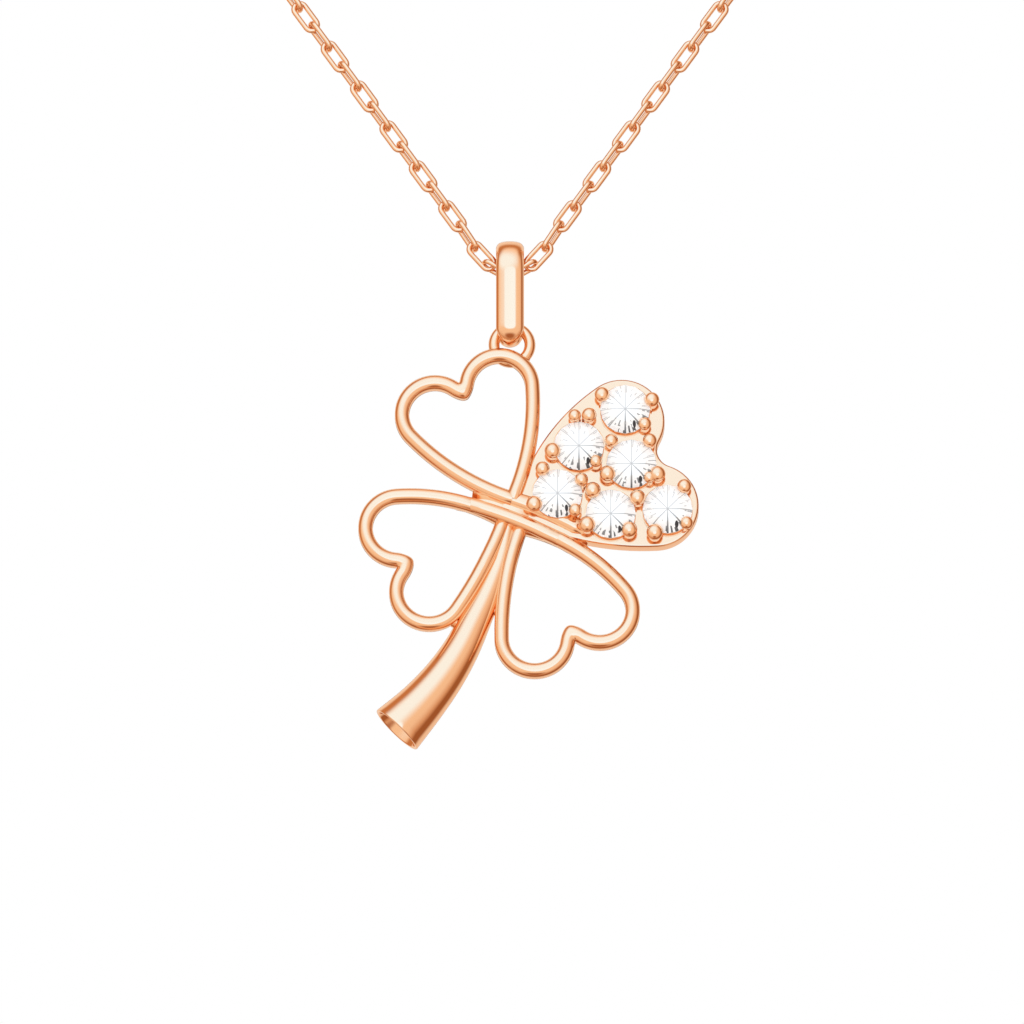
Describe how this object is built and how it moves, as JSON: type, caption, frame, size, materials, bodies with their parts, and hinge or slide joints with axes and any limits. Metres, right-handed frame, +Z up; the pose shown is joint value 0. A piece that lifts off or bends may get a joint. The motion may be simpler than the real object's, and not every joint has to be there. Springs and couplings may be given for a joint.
{
  "type": "four leaf clover pendant necklace",
  "caption": "Rose gold four leaf clover pendant: open wire heart leaves, one heart leaf set with round stones, a flared hollow stem and a bail on a fine cable chain.",
  "frame": {"origin": "at the nape, in the middle of the clasp, on its side that touches the neck", "axes": "+X to the wearer's left, +Y from the throat to the nape, +Z up; the pendant's front faces -Y"},
  "size_m": [0.1134, 0.1062, 0.156],
  "materials": {
    "rose_gold": "polished rose gold",
    "stone": "colourless round brilliant"
  },
  "bodies": {
    "root": {"chain": "rose_gold", "clasp": "rose_gold"},
    "bail": {"bail": "rose_gold"},
    "clover": {"clover": "rose_gold", "stone_1": "stone", "stone_2": "stone", "stone_3": "stone", "stone_4": "stone", "stone_5": "stone", "stone_6": "stone"}
  },
  "joints": [
    {"name": "bail_swing", "type": "hinge", "parent": "root", "child": "bail", "pos_m": [0, -0.1026, -0.1352], "axis": [1, 0, 0], "range_deg": [-90, 90]},
    {"name": "clover_swing", "type": "hinge", "parent": "bail", "child": "clover", "pos_m": [0, -0.1026, -0.13805], "axis": [0, 1, 0], "range_deg": [-20, 20]}
  ]
}
